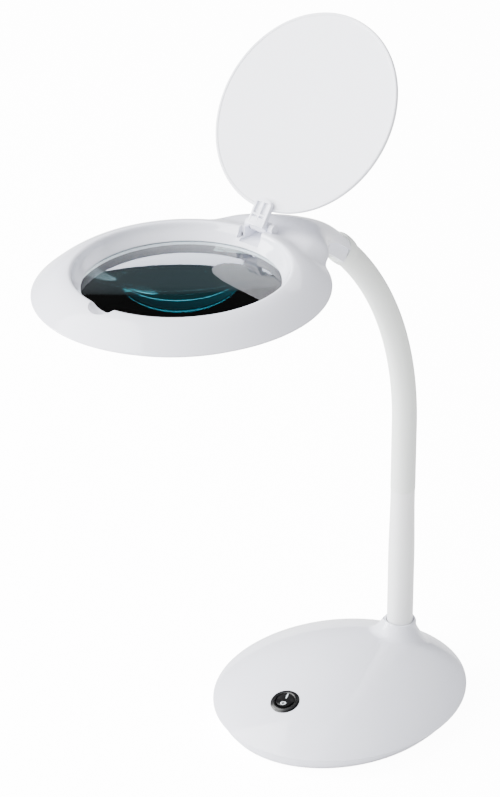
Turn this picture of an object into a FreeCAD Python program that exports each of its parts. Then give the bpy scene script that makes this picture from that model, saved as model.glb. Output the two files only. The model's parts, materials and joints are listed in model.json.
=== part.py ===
import FreeCAD, Part
import math
import os

# Magnifying lamp on a gooseneck arm. Millimetres, +Z up, origin on the table under the
# middle of the base. The lamp looks along -Y, the arm stands behind, X = 0 is its mirror plane.
V = FreeCAD.Vector

# ---- driving dimensions -------------------------------------------------------------
BASE_LENGTH = 150.0          # oval base, front to back
BASE_WIDTH = 127.0           # oval base, side to side
RIM_Z = 8.5                  # widest level of the base
DOME_RISE = 18.0             # crown above the rim
DOME_POWER = 1.24            # fullness of the dome's section
COVER_WALL = 2.4
COVER_EDGE_Z = 6.4           # lower edge of the cover
TRAY_TOP_Z = 6.2
TRAY_FOOT = 0.885            # foot of the tray as a fraction of the rim
PAD_THICK = 1.2

BALLAST_R = 62.0             # before the squeeze to the base's oval
BALLAST_THICK = 8.6

ARM_Y = 48.6                 # the arm's foot, behind the middle of the base
COLLAR_TOP_Z = 31.0
COLLAR_LIP_R = 8.3
TUBE_R = 7.05                # lower, stiff part of the arm
TUBE_TOP_R = 6.5
TUBE_BORE_R = 5.2
TUBE_BOTTOM_Z = 9.6
TAPER_START_Z = 74.0
TUBE_TOP_Z = 113.0

SLEEVE_R = 6.65              # sleeve over the flexible core
CORE_R = 4.6
LEAD_R = 1.9
SEGMENTS = 8
SEGMENT_GAP = 2.6            # open ends of neighbouring segments, so that each can bend
STRAIGHT_TO_Z = 152.0        # the arm is upright up to here
BEND_R = 167.5               # then it leans forward on this radius
LEAN_AT_FERRULE = 44.9       # degrees from upright where the arm enters its ferrule

PIVOT = (-26.5, 286.5)       # Y, Z of the head's tilt screw
NECK_END_R = 23.0            # rounded end of the head's neck about that screw
NECK_END_GAP = 0.4
FERRULE_R = 7.6
TONGUE_HALF = 4.8            # half the tongue's width, and of its stem's thickness
STEM_HALF = 4.0
HEAD_ROLL = -2.25            # the arm is twisted a little, so the head lies this far about Y
TILT_UP = 8.0                # degrees
TILT_DOWN = 35.0
SCREW_R = 2.0
RUNNING_GAP = 0.05

HEAD_Y = -119.6              # middle of the lens
HEAD_Z = 295.6               # widest level of the head
HEAD_R = 72.3
RECESS_R = 52.9              # edge of the recess that the lid closes
RECESS_Z = 11.2              # that edge, above the widest level
SHELL_WALL = 2.0
LENS_R = 50.0
LENS_SURFACE_R = 260.0       # both faces of the lens
LENS_EDGE = 2.2
LENS_TOP_EDGE_Z = 2.1        # rim of the lens' upper face above the widest level

LID_R = 51.6
LID_THICK = 2.0
LID_Z = 8.8                  # middle of the closed lid above the widest level
HINGE_RADIUS = 59.4          # lid pin from the middle of the lens
HINGE_Z = 10.8
LID_OPEN = 128.4             # degrees from closed, as the lamp is stored here
HINGE_TURN = 2.0             # the hinge sits this far round the ring from the neck
LID_ARM_REACH = 12.4
LID_ARM_THICK = 2.6
PIN_R = 1.0

INLET_X = -26.0             # power inlet in the back of the base
INLET_Z = 10.2

SWITCH_Y = -44.0
SWITCH_TURN = 20.0           # the round switch sits turned in its hole
BEZEL_R = 7.5
ROCKER_R = 4.9
ROCKER_REST = -7.0           # stored switched off; it turns twice this to switch on

os.makedirs("parts", exist_ok=True)


# ---- helpers ------------------------------------------------------------------------
def save(name, *solids):
    shape = solids[0] if len(solids) == 1 else Part.makeCompound(list(solids))
    shape.exportStep("parts/" + name + ".step")


def curve(points):
    """Smooth edge through points (r, z) of a section in the XZ plane."""
    spline = Part.BSplineCurve()
    spline.interpolate([V(r, 0, z) for r, z in points])
    return spline.toShape()


def line(start, end):
    return Part.makeLine(V(start[0], 0, start[1]), V(end[0], 0, end[1]))


def turned(edges):
    """Solid of revolution about Z from the closed section's edges."""
    face = Part.Face(Part.Wire(Part.__sortEdges__(edges)))
    solid = face.revolve(V(0, 0, 0), V(0, 0, 1), 360)
    return Part.makeSolid(solid) if solid.ShapeType != "Solid" else solid


def turned_polygon(points):
    pairs = zip(points, points[1:] + points[:1])
    return turned([line(a, b) for a, b in pairs])


def ring(inner, outer, low, high):
    return turned_polygon([(inner, low), (outer, low), (outer, high), (inner, high)])


def oval(shape):
    """Squeeze a round shape sideways into the base's oval."""
    matrix = FreeCAD.Matrix()
    matrix.A11 = BASE_WIDTH / BASE_LENGTH
    return shape.transformGeometry(matrix)


def oval_plate(half_length, low, high):
    """Flat plate in the base's oval, with true planes above and below."""
    outline = Part.Ellipse(V(0, 0, low), half_length, half_length * BASE_WIDTH / BASE_LENGTH)
    outline.rotate(FreeCAD.Placement(V(0, 0, 0), FreeCAD.Rotation(V(0, 0, 1), 90)))
    return Part.Face(Part.Wire(outline.toShape())).extrude(V(0, 0, high - low))


def rod(start, end, radius):
    axis = end - start
    return Part.makeCylinder(radius, axis.Length, start, axis)


def tube(start, end, outer, inner):
    axis = end - start
    reach = V(axis).normalize()
    return rod(start, end, outer).cut(rod(start - reach, end + reach, inner))


def placed(shape, x=0.0, y=0.0, z=0.0):
    moved = shape.copy()
    moved.translate(V(x, y, z))
    return moved


def x_rod(y, z, radius, low, high):
    return rod(V(low, y, z), V(high, y, z), radius)


def rolled(shape):
    """Roll a piece that goes with the head about the tilt screw, as the twisted arm holds it."""
    moved = shape.copy()
    moved.rotate(V(0, PIVOT[0], PIVOT[1]), V(0, 1, 0), HEAD_ROLL)
    return moved


def lean(degrees):
    """Unit vector in the mirror plane, leaning forward from upright by degrees."""
    angle = math.radians(degrees)
    return V(0, -math.sin(angle), math.cos(angle))


# ---- base ---------------------------------------------------------------------------
def dome_section(radius, low, rise):
    steps = [math.radians(7.5 * i) for i in range(13)]
    return [(radius * math.sin(t), low + rise * math.cos(t) ** DOME_POWER) for t in steps]


def dome_height(y):
    part = 1.0 - (2.0 * y / BASE_LENGTH) ** 2
    return RIM_Z + DOME_RISE * part ** (DOME_POWER / 2.0)


def dome_slope(y):
    return math.degrees(math.atan2(dome_height(y - 0.5) - dome_height(y + 0.5), 1.0))


def switch_placement():
    """Frame of the switch: its Z is square to the dome."""
    tilt = FreeCAD.Rotation(V(1, 0, 0), -dome_slope(SWITCH_Y))
    turn = FreeCAD.Rotation(V(0, 0, 1), SWITCH_TURN)
    return FreeCAD.Placement(V(0, SWITCH_Y, dome_height(SWITCH_Y)), tilt.multiply(turn))


def in_switch_frame(shape):
    moved = shape.copy()
    moved.Placement = switch_placement().multiply(moved.Placement)
    return moved


def base_cover():
    rim = BASE_LENGTH / 2.0
    outer = dome_section(rim, RIM_Z, DOME_RISE)
    inner = dome_section(rim - COVER_WALL, RIM_Z - 1.0, DOME_RISE - COVER_WALL + 1.0)
    edges = [
        curve(outer),
        line(outer[-1], (rim, RIM_Z - 0.6)),
        line((rim, RIM_Z - 0.6), (rim - 1.4, COVER_EDGE_Z)),
        line((rim - 1.4, COVER_EDGE_Z), (rim - COVER_WALL, COVER_EDGE_Z)),
        line((rim - COVER_WALL, COVER_EDGE_Z), inner[-1]),
        curve(inner),
        line(inner[0], outer[0]),
    ]
    shell = oval(turned(edges))
    lip = COLLAR_LIP_R
    flare = [(lip + 0.3, COLLAR_TOP_Z - 1.4), (lip + 2.4, 25.5), (lip + 8.2, 18.0)]
    collar = turned([
        line((0, COLLAR_TOP_Z), (lip, COLLAR_TOP_Z)),
        line((lip, COLLAR_TOP_Z), flare[0]),
        curve(flare),
        line(flare[-1], (lip + 8.2, 15.0)),
        line((lip + 8.2, 15.0), (0, 15.0)),
        line((0, 15.0), (0, COLLAR_TOP_Z)),
    ])
    below = oval(turned([
        curve(inner),
        line(inner[-1], (rim - COVER_WALL, 0)),
        line((rim - COVER_WALL, 0), (0, 0)),
        line((0, 0), inner[0]),
    ]))
    collar = placed(collar, y=ARM_Y).cut(below)
    boss = placed(ring(TUBE_R + 0.1, TUBE_R + 3.0, 15.0, 22.0), y=ARM_Y)
    bore = placed(Part.makeCylinder(TUBE_R + 0.1, 40.0), y=ARM_Y)
    cover = shell.fuse([collar, boss]).cut(bore)
    hole = in_switch_frame(Part.makeCylinder(BEZEL_R - 0.8, 12.0, V(0, 0, -6)))
    return cover.cut(hole).cut(inlet_mouth())


def inlet_mouth_y():
    """Where the base's back wall runs beside the arm, at the power inlet."""
    half = BASE_WIDTH / 2.0
    return (BASE_LENGTH / 2.0) * math.sqrt(1.0 - (INLET_X / half) ** 2)


def inlet_mouth():
    """Straight-sided opening in the cover that leads the plug to the inlet."""
    return Part.makeBox(11.0, 30.0, 7.4, V(INLET_X - 5.5, inlet_mouth_y() - 16.0, INLET_Z - 3.7))


def power_inlet():
    """Round socket with a middle pin in a square body, open to the back."""
    front = inlet_mouth_y() - 15.5
    axis_start = V(INLET_X, front, INLET_Z)
    back = V(0, 1, 0)
    body = Part.makeBox(9.0, 9.6, 6.4, V(INLET_X - 4.5, front, INLET_Z - 3.2))
    socket = Part.makeCylinder(2.55, 12.0, axis_start + back * 1.6, back)
    bore = Part.makeCylinder(0.85, 6.0, axis_start - back * 2.0, back)
    pin = Part.makeCylinder(0.8, 9.6, axis_start - back * 1.0, back)
    return body.cut(socket).cut(bore), pin


def base_tray():
    rim = BASE_LENGTH / 2.0
    foot = rim * TRAY_FOOT
    outside = [(rim - 1.6, TRAY_TOP_Z), (rim - 3.4, 3.6), (foot + 1.2, 1.0)]
    tray = oval(turned([
        curve(outside),
        line(outside[-1], (foot, 0.3)),
        line((foot, 0.3), (foot - 2.0, 0.3)),
        line((foot - 2.0, 0.3), (foot - 2.0, PAD_THICK)),
        line((foot - 2.0, PAD_THICK), (0, PAD_THICK)),
        line((0, PAD_THICK), (0, PAD_THICK + 2.0)),
        line((0, PAD_THICK + 2.0), (foot - 2.0, PAD_THICK + 2.0)),
        line((foot - 2.0, PAD_THICK + 2.0), (rim - 5.6, TRAY_TOP_Z)),
        line((rim - 5.6, TRAY_TOP_Z), outside[0]),
    ]))
    for x, y in screw_spots():
        tray = tray.cut(Part.makeCylinder(1.6, 10.0, V(x, y, 0)))
    return tray


def screw_spots():
    """Three screws that hold the tray under the cover's posts."""
    return [(0.0, -60.5), (-44.0, 25.0), (44.0, 25.0)]


def post_top(x, y):
    part = 1.0 - (2.0 * x / BASE_WIDTH) ** 2 - (2.0 * y / BASE_LENGTH) ** 2
    return RIM_Z - 1.0 + (DOME_RISE - COVER_WALL + 1.0) * part ** (DOME_POWER / 2.0)


def cover_posts(cover):
    floor = PAD_THICK + 2.0
    for x, y in screw_spots():
        post = Part.makeCylinder(3.2, post_top(x, y) + 0.6 - floor, V(x, y, floor))
        pilot = Part.makeCylinder(1.25, 9.0, V(x, y, floor - 1.0))
        cover = cover.fuse(post).cut(pilot)
    return cover


def tray_screws():
    screws = []
    for x, y in screw_spots():
        shank = Part.makeCylinder(1.25, 8.4, V(x, y, PAD_THICK + 1.5))
        head = Part.makeCylinder(1.55, 0.5, V(x, y, PAD_THICK + 1.0))
        screws.append(shank.fuse(head))
    return screws


def ballast():
    """Oval iron weight on the tray's floor, cut away round the arm's foot and the fittings."""
    floor = PAD_THICK + 2.0
    weight = oval_plate(BALLAST_R, floor, floor + BALLAST_THICK)
    weight = weight.cut(Part.makeCylinder(16.0, 20.0, V(0, ARM_Y, 0)))
    weight = weight.cut(Part.makeBox(30.0, 40.0, 20.0, V(INLET_X - 10.0, 38.0, 0)))
    weight = weight.cut(Part.makeBox(22.0, 26.0, 20.0, V(-11.0, SWITCH_Y - 11.0, 0)))
    for x, y in screw_spots():
        weight = weight.cut(Part.makeCylinder(4.2, 20.0, V(x, y, 0)))
    return weight


def arm_foot():
    """Clamp plate under the collar's boss and the nut on the tube's thread."""
    plate = placed(ring(TUBE_R + 0.08, 13.0, 12.6, 14.7), y=ARM_Y)
    nut = Part.makeCylinder(11.5, 2.6, V(0, ARM_Y, 9.8))
    sides = Part.makeBox(18.0, 30.0, 2.6, V(-9.0, ARM_Y - 15.0, 9.8))
    nut = nut.common(sides).cut(Part.makeCylinder(TUBE_R + 0.08, 10.0, V(0, ARM_Y, 5.0)))
    return plate, nut


def arm_tube():
    pipe = turned_polygon([
        (TUBE_BORE_R, TUBE_BOTTOM_Z), (TUBE_R, TUBE_BOTTOM_Z), (TUBE_R, TAPER_START_Z),
        (TUBE_TOP_R, TUBE_TOP_Z - 4.0), (TUBE_TOP_R, TUBE_TOP_Z), (TUBE_BORE_R, TUBE_TOP_Z),
    ])
    return placed(pipe, y=ARM_Y)


# ---- switch -------------------------------------------------------------------------
def switch_body():
    bezel = turned_polygon([
        (ROCKER_R + 0.35, -0.2), (BEZEL_R - 0.9, -0.2), (BEZEL_R - 0.9, 0.15),
        (BEZEL_R, 0.15), (BEZEL_R - 0.5, 0.9), (ROCKER_R + 0.9, 1.5), (ROCKER_R + 0.35, 1.2),
    ])
    can = ring(ROCKER_R + 0.35, BEZEL_R - 0.9, -9.5, -0.2)
    back = Part.makeCylinder(BEZEL_R - 0.9, 1.2, V(0, 0, -10.7))
    body = bezel.fuse([can, back])
    for side in (-1, 1):
        socket = rod(V(side * (ROCKER_R - 0.5), 0, -2.4), V(side * BEZEL_R, 0, -2.4), 1.05)
        body = body.cut(socket)
    for y in (-3.0, 3.0):
        body = body.cut(Part.makeBox(3.6, 0.7, 4.0, V(-1.8, y - 0.35, -12.0)))
    return in_switch_frame(body)


def switch_rocker():
    """Paddle with two shallow slopes meeting over its trunnions, pressed at the I end."""
    cap = Part.makeCylinder(ROCKER_R, 6.0, V(0, 0, -3.2))
    for side in (-1, 1):
        slope = Part.makeBox(20.0, 20.0, 10.0, V(-10.0, 0.0, 0.9))
        slope.rotate(V(0, 0, 0.9), V(1, 0, 0), 9.0)
        if side < 0:
            slope = slope.mirror(V(0, 0, 0), V(0, 1, 0))
        cap = cap.cut(slope)
    for side in (-1, 1):
        relief = Part.makeBox(12.0, 6.0, 6.0, V(-6.0, 0.0, -9.2))
        relief.rotate(V(0, 0, -3.2), V(1, 0, 0), 24.0)
        if side < 0:
            relief = relief.mirror(V(0, 0, 0), V(0, 1, 0))
        cap = cap.cut(relief)
    pin = rod(V(-ROCKER_R - 1.0, 0, -2.4), V(ROCKER_R + 1.0, 0, -2.4), 1.0)
    rocker = cap.common(Part.makeSphere(5.35, V(0, 0, -2.4))).fuse(pin)
    rocker.rotate(V(0, 0, -2.4), V(1, 0, 0), ROCKER_REST)
    return in_switch_frame(rocker)


def switch_terminals():
    tabs = []
    for y in (-3.0, 3.0):
        tabs.append(in_switch_frame(Part.makeBox(3.0, 0.5, 5.2, V(-1.5, y - 0.25, -14.2))))
    return tabs


# ---- flexible arm -------------------------------------------------------------------
def arm_point(run):
    """Point on the arm's centreline, run millimetres above the stiff tube's top."""
    straight = STRAIGHT_TO_Z - TUBE_TOP_Z
    if run <= straight:
        return V(0, ARM_Y, TUBE_TOP_Z + run)
    turn = (run - straight) / BEND_R
    return V(0, ARM_Y - BEND_R * (1.0 - math.cos(turn)), STRAIGHT_TO_Z + BEND_R * math.sin(turn))


def arm_points():
    """Joint points along the arm, from the stiff tube up to the ferrule."""
    total = STRAIGHT_TO_Z - TUBE_TOP_Z + math.radians(LEAN_AT_FERRULE) * BEND_R
    return [arm_point(total * i / SEGMENTS) for i in range(SEGMENTS + 1)]


def segment_ends(index, points):
    start = points[index]
    end = points[index + 1]
    along = (end - start).normalize()
    low = start + along * (0.0 if index == 0 else SEGMENT_GAP / 2.0)
    high = end - along * (0.0 if index == SEGMENTS - 1 else SEGMENT_GAP / 2.0)
    return low, high


def flexible_arm():
    points = arm_points()
    for index in range(SEGMENTS):
        low, high = segment_ends(index, points)
        radius = SLEEVE_R
        number = "_{:02d}".format(index + 1)
        save("sleeve" + number, tube(low, high, radius, CORE_R + 0.1))
        save("flex_core" + number, tube(low, high, CORE_R, LEAD_R + 0.3))
        save("arm_lead" + number, rod(low, high, LEAD_R))


# ---- ferrule and tilt joint -----------------------------------------------------------
def ferrule():
    """Collar on the arm's end, with the tongue that the head tilts on."""
    end = arm_points()[-1]
    pivot = V(0, PIVOT[0], PIVOT[1])
    along = lean(LEAN_AT_FERRULE)
    collar = Part.makeCone(SLEEVE_R + 0.35, FERRULE_R, 18.0, end + along * 0.6, along)
    collar = collar.cut(rolled(x_rod(PIVOT[0], PIVOT[1], NECK_END_R + NECK_END_GAP, -20, 20)))
    stem_way = pivot - end
    corner = V(-TONGUE_HALF, -STEM_HALF, 5.0)
    stem = Part.makeBox(2 * TONGUE_HALF, 2 * STEM_HALF, stem_way.Length - 5.0, corner)
    stem.rotate(V(0, 0, 0), V(1, 0, 0), math.degrees(math.atan2(-stem_way.y, stem_way.z)))
    stem.translate(end)
    knuckle = x_rod(PIVOT[0], PIVOT[1], 5.6, -TONGUE_HALF, TONGUE_HALF)
    body = collar.fuse([rolled(stem), rolled(knuckle)])
    return body.cut(rolled(x_rod(PIVOT[0], PIVOT[1], SCREW_R + RUNNING_GAP, -10, 10)))


def tilt_screw():
    shank = x_rod(PIVOT[0], PIVOT[1], SCREW_R, -8.2, 8.0)
    head = x_rod(PIVOT[0], PIVOT[1], 3.6, 7.0, 8.8)
    slot = Part.makeBox(2.0, 5.0, 0.9, V(8.2, PIVOT[0] - 2.5, PIVOT[1] - 0.45))
    cross = Part.makeBox(2.0, 0.9, 5.0, V(8.2, PIVOT[0] - 0.45, PIVOT[1] - 2.5))
    nut = x_rod(PIVOT[0], PIVOT[1], 3.4, -8.8, -6.6)
    nut = nut.cut(x_rod(PIVOT[0], PIVOT[1], SCREW_R + 0.02, -20, 0))
    return shank.fuse(head).cut(slot).cut(cross), nut


# ---- head -----------------------------------------------------------------------------
def head_top_section(inset):
    """Upper face of the ring: rises from the outer edge to the edge of the recess."""
    span = HEAD_R - RECESS_R
    points = []
    for i in range(7):
        t = i / 6.0
        height = RECESS_Z * (1.0 - (1.0 - t) ** 1.7)
        points.append((HEAD_R - inset - (span - inset) * t, height - inset))
    return points


def neck_section(y, z, half_height, half_width, slope):
    """Oval wire square to the neck; slope is its fall towards the back in degrees."""
    fall = math.radians(slope)
    points = []
    for i in range(16):
        t = math.radians(22.5 * i)
        up = half_height * math.sin(t)
        points.append(V(half_width * math.cos(t), y + up * math.sin(fall), z + up * math.cos(fall)))
    spline = Part.BSplineCurve()
    spline.interpolate(points, PeriodicFlag=True)
    return Part.Wire([spline.toShape()])


NECK = (
    # y, z, half height, half width, fall towards the back
    (-66.0, 299.2, 4.2, 33.0, 0.0),
    (-52.0, 298.4, 6.9, 27.0, 9.0),
    (-38.0, 294.8, 8.5, 16.4, 22.0),
    (-26.5, 289.1, 8.9, 10.8, 34.0),
    (-15.0, 281.1, 8.4, 8.7, 41.5),
    (0.0, 268.2, 8.2, 8.1, 45.0),
)


def neck_solid(inset):
    sections = []
    for y, z, high, wide, slope in NECK:
        sections.append(neck_section(y, z, high - inset, wide - inset, slope))
    return Part.makeLoft(sections, True)


def neck_end():
    """Everything in front of the tilt screw, and a round end about it."""
    front = Part.makeBox(120.0, 80.0, 80.0, V(-60.0, PIVOT[0] - 80.0, PIVOT[1] - 40.0))
    return front.fuse(x_rod(PIVOT[0], PIVOT[1], NECK_END_R, -60, 60))


def tongue_slot():
    """Space that the tongue and its stem sweep as the head tilts."""
    half = TONGUE_HALF + 0.4
    end = arm_points()[-1]
    rest = math.degrees(math.atan2(end.z - PIVOT[1], end.y - PIVOT[0]))
    slot = x_rod(PIVOT[0], PIVOT[1], 6.1, -half, half)
    steps = 6
    for i in range(steps + 1):
        angle = rest + TILT_UP + 1.5 - (TILT_UP + TILT_DOWN + 3.0) * i / steps
        depth = STEM_HALF + 0.4
        way = Part.makeBox(2 * half, 24.0, 2 * depth, V(-half, 0, -depth))
        way.rotate(V(0, 0, 0), V(1, 0, 0), angle)
        slot = slot.fuse(placed(way, y=PIVOT[0], z=PIVOT[1]))
    return slot


def head_upper_shell():
    outer = head_top_section(0.0)
    inner = head_top_section(SHELL_WALL)
    wall_r = RECESS_R - 0.7
    lip = LENS_R - 1.9
    top = turned([
        curve(outer),
        line(outer[-1], (wall_r, RECESS_Z - 4.0)),
        line((wall_r, RECESS_Z - 4.0), (lip, LENS_TOP_EDGE_Z + 0.95)),
        line((lip, LENS_TOP_EDGE_Z + 0.95), (lip, LENS_TOP_EDGE_Z + 0.7)),
        line((lip, LENS_TOP_EDGE_Z + 0.7), (RECESS_R + 1.2, LENS_TOP_EDGE_Z + 0.7)),
        line((RECESS_R + 1.2, LENS_TOP_EDGE_Z + 0.7), (RECESS_R + 1.2, RECESS_Z - 3.2)),
        line((RECESS_R + 1.2, RECESS_Z - 3.2), (RECESS_R + 3.0, RECESS_Z - 2.6)),
        curve([(RECESS_R + 3.0, RECESS_Z - 2.6), (63.0, 5.6), (HEAD_R - 2.2, -0.1)]),
        line((HEAD_R - 2.2, -0.1), (HEAD_R, -0.1)),
        line((HEAD_R, -0.1), outer[0]),
    ])
    top = placed(top, y=HEAD_Y, z=HEAD_Z)
    well = placed(Part.makeCylinder(RECESS_R + 4.0, 60.0), y=HEAD_Y, z=HEAD_Z - 30.0)
    under = placed(Part.makeCylinder(HEAD_R + 0.2, 30.0), y=HEAD_Y, z=HEAD_Z - 30.1)
    neck = neck_solid(0.0).common(neck_end()).cut(well)
    neck = neck.cut(under)
    hollow = neck_solid(SHELL_WALL)
    reach = Part.makeBox(120.0, 60.0, 80.0, V(-60.0, PIVOT[0] - 67.0, PIVOT[1] - 40.0))
    hollow = hollow.common(reach).cut(well)
    ring_space = placed(turned_polygon([
        (RECESS_R + 1.2, -0.1), (HEAD_R - 2.2, -0.1), (63.0, 5.6),
        (RECESS_R + 3.0, RECESS_Z - 2.6), (RECESS_R + 1.2, RECESS_Z - 3.2),
    ]), y=HEAD_Y, z=HEAD_Z)
    shell = top.fuse(neck).cut(hollow).cut(tongue_slot()).cut(ring_space)
    shell = shell.cut(x_rod(PIVOT[0], PIVOT[1], SCREW_R + 0.02, -20, 20))
    shell = shell.cut(x_rod(PIVOT[0], PIVOT[1], 3.9, 6.98, 20))
    shell = shell.cut(x_rod(PIVOT[0], PIVOT[1], 3.6, -20, -6.58))
    return cut_for_lid(shell)


def round_the_ring(shape):
    """Turn a piece of the hinge from the neck's line to its own place on the ring."""
    moved = shape.copy()
    moved.rotate(V(0, HEAD_Y, 0), V(0, 0, 1), HINGE_TURN)
    return moved


def cut_for_lid(shell):
    """Pocket for the lid's hinge, its pin's holes and the scoop for a finger."""
    pin_y = HEAD_Y + HINGE_RADIUS
    pin_z = HEAD_Z + HINGE_Z
    pocket = Part.makeBox(12.0, 14.0, 14.0, V(-6.0, pin_y - 10.4, HEAD_Z + 4.6))
    step = Part.makeBox(4.3, 6.6, 14.0, V(-8.0, pin_y - 12.0, HEAD_Z + 5.9))
    shell = shell.cut(round_the_ring(pocket)).cut(round_the_ring(step))
    for side in (-1, 1):
        lug = x_rod(pin_y, pin_z, 2.6, side * 6.0, side * 8.6)
        web = Part.makeBox(2.6, 5.2, 6.0, V(min(side * 6.0, side * 8.6), pin_y - 2.6, pin_z - 6.0))
        shell = shell.fuse([round_the_ring(lug), round_the_ring(web)])
    shell = shell.cut(round_the_ring(x_rod(pin_y, pin_z, PIN_R + 0.02, -8.0, 8.0)))
    scoop = Part.makeSphere(8.6, V(0, HEAD_Y - RECESS_R - 0.2, HEAD_Z + RECESS_Z + 4.0))
    return shell.cut(scoop)


def head_lower_shell():
    """Shallow dish under the ring with an inner collar that carries the lens."""
    dish = turned_polygon([
        (HEAD_R - 0.4, -0.3), (HEAD_R - 1.2, -0.6), (64.6, -4.2), (64.6, -2.6), (66.0, -1.7),
        (HEAD_R - 2.6, -0.3),
    ])
    collar = turned_polygon([
        (LENS_R - 1.2, -5.4), (LENS_R + 4.0, -4.2), (LENS_R + 4.0, -2.6), (LENS_R + 1.9, -2.6),
        (LENS_R + 1.9, 1.9), (LENS_R + 0.2, 1.9), (LENS_R + 0.2, -0.2), (LENS_R - 1.2, -0.45),
    ])
    shell = dish.fuse(collar)
    for i in range(6):
        rib = Part.makeBox(13.2, 1.6, 1.0, V(LENS_R + 1.5, -0.8, -1.9))
        rib.rotate(V(0, 0, 0), V(0, 0, 1), 30.0 + 60.0 * i)
        post = Part.makeBox(2.0, 1.6, 1.9, V(64.2, -0.8, -2.8))
        post.rotate(V(0, 0, 0), V(0, 0, 1), 30.0 + 60.0 * i)
        shell = shell.fuse([rib, post])
    return placed(shell, y=HEAD_Y, z=HEAD_Z)


def lens():
    sag = LENS_SURFACE_R - math.sqrt(LENS_SURFACE_R ** 2 - LENS_R ** 2)
    top = LENS_TOP_EDGE_Z + sag - LENS_SURFACE_R
    bottom = LENS_TOP_EDGE_Z - LENS_EDGE - sag + LENS_SURFACE_R
    blank = Part.makeCylinder(LENS_R, 40.0, V(0, 0, -20))
    body = blank.common(Part.makeSphere(LENS_SURFACE_R, V(0, 0, top)))
    body = body.common(Part.makeSphere(LENS_SURFACE_R, V(0, 0, bottom)))
    return placed(body, y=HEAD_Y, z=HEAD_Z)


LED_COUNT = 48
LED_RING_R = 59.0


def led_board():
    board = ring(LENS_R + 2.4, 64.4, 0.6, 1.8)
    return placed(board, y=HEAD_Y, z=HEAD_Z)


def leds():
    chips = []
    for i in range(LED_COUNT):
        chip = Part.makeBox(2.8, 3.4, 0.9, V(LED_RING_R - 1.4, -1.7, -0.32))
        chip.rotate(V(0, 0, 0), V(0, 0, 1), (i + 0.5) * 360.0 / LED_COUNT)
        chips.append(placed(chip, y=HEAD_Y, z=HEAD_Z))
    return chips


def diffuser():
    window = ring(LENS_R + 4.2, 64.4, -3.9, -2.9)
    return placed(window, y=HEAD_Y, z=HEAD_Z)


# ---- lid ------------------------------------------------------------------------------
def opened(shape):
    """Turn a piece drawn on the closed lid to the stored, open position."""
    moved = shape.copy()
    pin = V(0, HEAD_Y + HINGE_RADIUS, HEAD_Z + HINGE_Z)
    moved.rotate(pin, V(1, 0, 0), -LID_OPEN)
    return round_the_ring(moved)


def lid():
    half = LID_THICK / 2.0
    disc = turned_polygon([
        (0, -half + 0.3), (LID_R - 1.6, -half + 0.3), (LID_R - 1.6, -half), (LID_R - 0.3, -half),
        (LID_R, -half + 0.4), (LID_R, half - 0.4), (LID_R - 0.4, half), (0, half),
    ])
    return opened(placed(disc, y=HEAD_Y, z=HEAD_Z + LID_Z))


def lid_arm():
    """Short ribbed arm from the lid's pin to under the closed lid, rounded at its free end."""
    pin_y = HEAD_Y + HINGE_RADIUS
    pin_z = HEAD_Z + HINGE_Z
    top = HEAD_Z + LID_Z - LID_THICK / 2.0
    low = top - LID_ARM_THICK
    bar = Part.makeBox(10.0, LID_ARM_REACH + 1.5, LID_ARM_THICK, V(-5.0, pin_y - LID_ARM_REACH, low))
    corners = []
    for edge in bar.Edges:
        ends = [vertex.Point for vertex in edge.Vertexes]
        upright = abs(ends[0].z - ends[1].z) > 1.0
        if upright and max(point.y for point in ends) < pin_y - 5.0:
            corners.append(edge)
    bar = bar.makeFillet(3.2, corners)
    knuckle = x_rod(pin_y, pin_z, 2.9, -5.0, 5.0)
    web = Part.makeBox(10.0, 4.4, 3.6, V(-5.0, pin_y - 2.9, low))
    arm = bar.fuse([knuckle, web])
    for x in (-3.9, 0.4):
        for y, length in ((pin_y - 10.8, 6.0), (pin_y - 3.8, 3.6)):
            arm = arm.cut(Part.makeBox(3.5, length, 1.6, V(x, y, low - 0.2)))
    arm = arm.cut(x_rod(pin_y, pin_z, PIN_R + RUNNING_GAP, -10, 10))
    return opened(arm)


def lid_pin():
    return round_the_ring(x_rod(HEAD_Y + HINGE_RADIUS, HEAD_Z + HINGE_Z, PIN_R, -7.9, 7.9))


# ---- wiring inside the base --------------------------------------------------------------
WIRE_R = 0.9
BOARD_CORNER = V(16.0, 8.0, 14.0)


def driver_board():
    return Part.makeBox(24.0, 18.0, 1.2, BOARD_CORNER)


def board_spacers():
    spacers = []
    top = PAD_THICK + 2.0 + BALLAST_THICK
    for x, y in ((3.0, 3.0), (21.0, 15.0)):
        low = V(BOARD_CORNER.x + x, BOARD_CORNER.y + y, top)
        spacers.append(Part.makeCylinder(1.8, BOARD_CORNER.z - top, low))
    return spacers


def driver_parts():
    deck = BOARD_CORNER + V(0, 0, 1.2)
    choke = Part.makeCylinder(3.4, 3.6, deck + V(8.0, 11.0, 0))
    chip = Part.makeBox(5.0, 4.0, 1.4, deck + V(15.0, 4.0, 0))
    return choke, chip


def lead(points, radius):
    """Wire of straight runs joined by tangent arcs."""
    edges = []
    last = points[0]
    for i in range(1, len(points) - 1):
        before = points[i - 1] - points[i]
        after = points[i + 1] - points[i]
        angle = before.getAngle(after)
        cut = 0.42 * min(before.Length, after.Length)
        half = (math.pi - angle) / 2.0
        a = points[i] + V(before).normalize() * cut
        b = points[i] + V(after).normalize() * cut
        centre_way = (V(before).normalize() + V(after).normalize()).normalize()
        bend = cut / math.tan(half)
        middle = points[i] + centre_way * (math.hypot(bend, cut) - bend)
        edges.append(Part.makeLine(last, a))
        edges.append(Part.Arc(a, middle, b).toShape())
        last = b
    edges.append(Part.makeLine(last, points[-1]))
    path = Part.Wire(edges)
    profile = Part.Wire([Part.makeCircle(radius, points[0], points[1] - points[0])])
    return path.makePipeShell([profile], True, True)


def at_switch(x, y, z):
    return switch_placement().multVec(V(x, y, z))


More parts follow.
